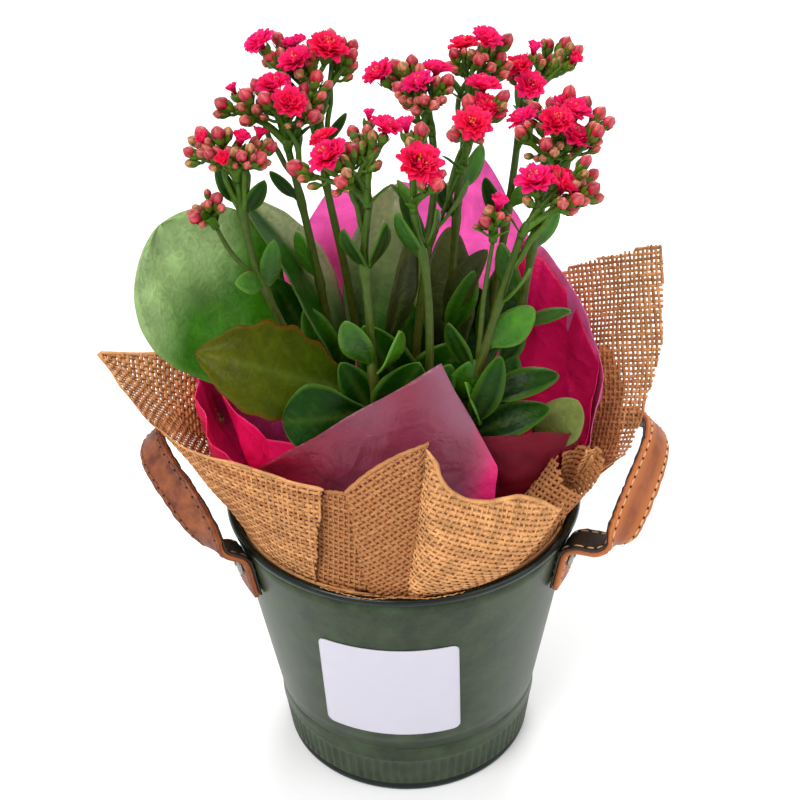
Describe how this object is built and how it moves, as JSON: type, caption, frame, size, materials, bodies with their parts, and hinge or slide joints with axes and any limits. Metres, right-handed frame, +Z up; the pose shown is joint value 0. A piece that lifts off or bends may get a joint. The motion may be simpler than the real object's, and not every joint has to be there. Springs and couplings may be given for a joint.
{
  "type": "potted flaming katy",
  "caption": "Double-flowered flaming katy in a nursery pot, standing in a conical painted tin with two leather strap handles, a hessian wrap and a pink tissue wrap.",
  "frame": {"origin": "on the ground under the middle of the whole outline", "axes": "+Z up, front with the label towards -Y, straps on -X and +X"},
  "size_m": [0.2316, 0.151, 0.3189],
  "materials": {
    "tin_paint": "satin, slightly weathered dark green paint",
    "label": "smooth coated paper",
    "hessian": "coarse open jute weave",
    "tissue": "thin creased translucent tissue with a slight sheen",
    "pot": "satin black",
    "soil": "crumbly peat",
    "leaf": "fleshy leaf with a waxy sheen",
    "flower": "velvety petals",
    "strap_leather": "tan leather with stitched edges",
    "strap_lining": "dark woven lining",
    "rivet": "dull steel"
  },
  "bodies": {
    "root": {"tin_foot": "tin_paint", "tin_floor": "tin_paint", "tin_wall": "tin_paint", "label": "label", "hessian_wrap": "hessian", "tissue_wrap": "tissue", "nursery_pot": "pot", "soil": "soil", "stem_a": "leaf", "stem_b": "leaf", "stem_c": "leaf", "stem_d": "leaf", "stem_e": "leaf", "stem_f": "leaf", "stem_g": "leaf", "stem_h": "leaf", "stem_i": "leaf", "stem_j": "leaf", "head_a": "flower", "head_a_low": "flower", "head_b": "flower", "head_c": "flower", "head_d": "flower", "head_e": "flower", "head_f": "flower", "head_f_side": "flower", "head_g": "flower", "head_h": "flower", "head_i": "flower", "head_j": "flower", "head_j_side": "flower", "strap_leather_right": "strap_leather", "strap_lining_right": "strap_lining", "strap_leather_left": "strap_leather", "strap_lining_left": "strap_lining", "rivet_right_front": "rivet", "rivet_right_back": "rivet", "rivet_left_front": "rivet", "rivet_left_back": "rivet"}
  },
  "joints": []
}
